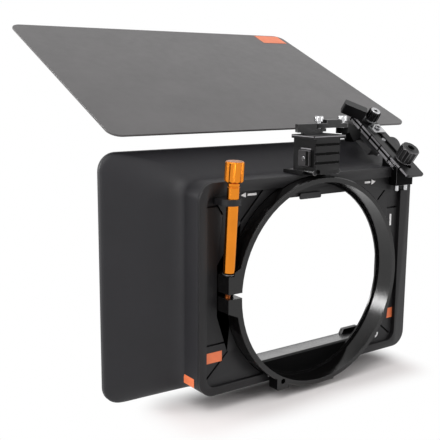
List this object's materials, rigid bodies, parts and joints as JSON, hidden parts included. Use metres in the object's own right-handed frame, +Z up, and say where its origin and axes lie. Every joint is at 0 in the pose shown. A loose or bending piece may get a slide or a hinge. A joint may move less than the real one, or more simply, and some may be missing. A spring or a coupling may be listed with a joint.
{
  "type": "matte box",
  "caption": "Lens matte box with flared hood, filter bay, split clamp ring, clamp screw and a top flag on a slotted tilting rail arm.",
  "frame": {"origin": "centre of the lens clamp, on the lens axis in the plane of the rear rim", "axes": "+X to the operator's right, +Y towards the subject, +Z up"},
  "size_m": [0.228, 0.1812, 0.2085],
  "materials": {
    "hood_moulding": "matt moulded black",
    "frame_moulding": "fine matt black",
    "ring_anodised": "black anodised, satin",
    "black_anodised": "black anodised, satin",
    "orange_anodised": "orange anodised, satin",
    "bright_steel": "polished",
    "satin_steel": "satin",
    "flag_sheet": "fine matt grey-black"
  },
  "bodies": {
    "stage": {"hood_shell": "hood_moulding", "rear_frame": "frame_moulding", "clamp_ring": "ring_anodised", "ring_screw_1": "satin_steel", "ring_screw_2": "satin_steel", "ring_screw_3": "satin_steel", "ring_screw_4": "satin_steel", "filter_guide_left": "hood_moulding", "filter_guide_right": "hood_moulding", "tray_retainer": "hood_moulding", "screw_saddle": "frame_moulding", "receiver_block": "black_anodised", "receiver_screw_left": "black_anodised", "receiver_screw_right": "black_anodised", "base_screw_left": "satin_steel", "base_screw_right": "satin_steel", "latch_spring": "satin_steel", "wedge_block": "black_anodised", "wedge_pin_1": "bright_steel", "wedge_pin_2": "bright_steel"},
    "screw_carriage": {"thrust_washer": "satin_steel"},
    "clamp_screw": {"clamp_shaft": "orange_anodised", "clamp_knob": "orange_anodised"},
    "latch": {"latch_button": "black_anodised", "latch_pin": "bright_steel"},
    "foot": {"arm_foot": "black_anodised", "pivot_screw_inner": "bright_steel"},
    "link": {"arm_link": "black_anodised"},
    "rail": {"rail_bracket": "black_anodised", "bracket_screw": "satin_steel", "pivot_screw_outer": "bright_steel", "rail_upper_plate": "black_anodised", "rail_lower_plate": "black_anodised", "slot_stop": "bright_steel", "slot_stop_screw": "satin_steel"},
    "shoe": {"flag_shoe": "black_anodised"},
    "swing": {"swing_arm": "black_anodised"},
    "upper_grip": {"upper_knob": "black_anodised", "upper_knob_screw": "bright_steel", "upper_knob_washer": "satin_steel"},
    "flag": {"flag_sheet": "flag_sheet", "flag_clip": "black_anodised", "flag_pin": "bright_steel"},
    "lower_grip": {"lower_knob": "black_anodised", "lower_knob_screw": "black_anodised", "lower_knob_washer": "black_anodised"}
  },
  "joints": [
    {"name": "clamp_screw_travel", "type": "slide", "parent": "stage", "child": "screw_carriage", "axis": [0, -0.0732, 0.9973], "range_m": [0, 0.00199]},
    {"name": "clamp_screw_turn", "type": "hinge", "parent": "screw_carriage", "child": "clamp_screw", "pos_m": [-0.0632, -0.00312, 0], "axis": [0, -0.0732, 0.9973], "range_deg": [0, 1440]},
    {"name": "latch_press", "type": "slide", "parent": "stage", "child": "latch", "axis": [1, 0, 0], "range_m": [0, 0.0012], "stiffness_N_per_m": 500, "springref_m": -0.002, "deforming": ["latch_spring"]},
    {"name": "rail_slide", "type": "slide", "parent": "stage", "child": "rail", "axis": [0, 0.809, 0.5878], "range_m": [0, 0.005]},
    {"name": "arm_foot_lift", "type": "slide", "parent": "stage", "child": "foot", "axis": [0, 0, 1], "range_m": [0, 0.003]},
    {"name": "arm_link_swing", "type": "hinge", "parent": "foot", "child": "link", "pos_m": [0.0065, 0.0065, 0.088], "axis": [0, 0, 1], "range_deg": [0, 15]},
    {"name": "flag_shift", "type": "slide", "parent": "rail", "child": "shoe", "axis": [0, 0.809, 0.5878], "range_m": [-0.0008, 0.0036]},
    {"name": "flag_tilt", "type": "hinge", "parent": "shoe", "child": "flag", "pos_m": [0.0684, 0.03293, 0.07894], "axis": [1, 0, 0], "range_deg": [-25, 5]},
    {"name": "swing_arm_swing", "type": "hinge", "parent": "shoe", "child": "swing", "pos_m": [0.0684, 0.02704, 0.08653], "axis": [0, -0.5878, 0.809], "range_deg": [-50, 20]},
    {"name": "upper_knob_turn", "type": "hinge", "parent": "shoe", "child": "upper_grip", "pos_m": [0.0684, 0.02599, 0.08799], "axis": [0, -0.5878, 0.809], "range_deg": [0, 720]},
    {"name": "lower_knob_turn", "type": "hinge", "parent": "stage", "child": "lower_grip", "pos_m": [0.0684, -0.00322, 0.06677], "axis": [0, -0.5878, 0.809], "range_deg": [0, 720]}
  ],
  "couplings": [
    {"joint": "clamp_screw_turn", "follows": "clamp_screw_travel", "rad_per_m": 12566},
    {"joint": "arm_foot_lift", "follows": "rail_slide", "ratio": 0.58779},
    {"joint": "arm_link_swing", "follows": "rail_slide", "rad_per_m": 50.8}
  ]
}
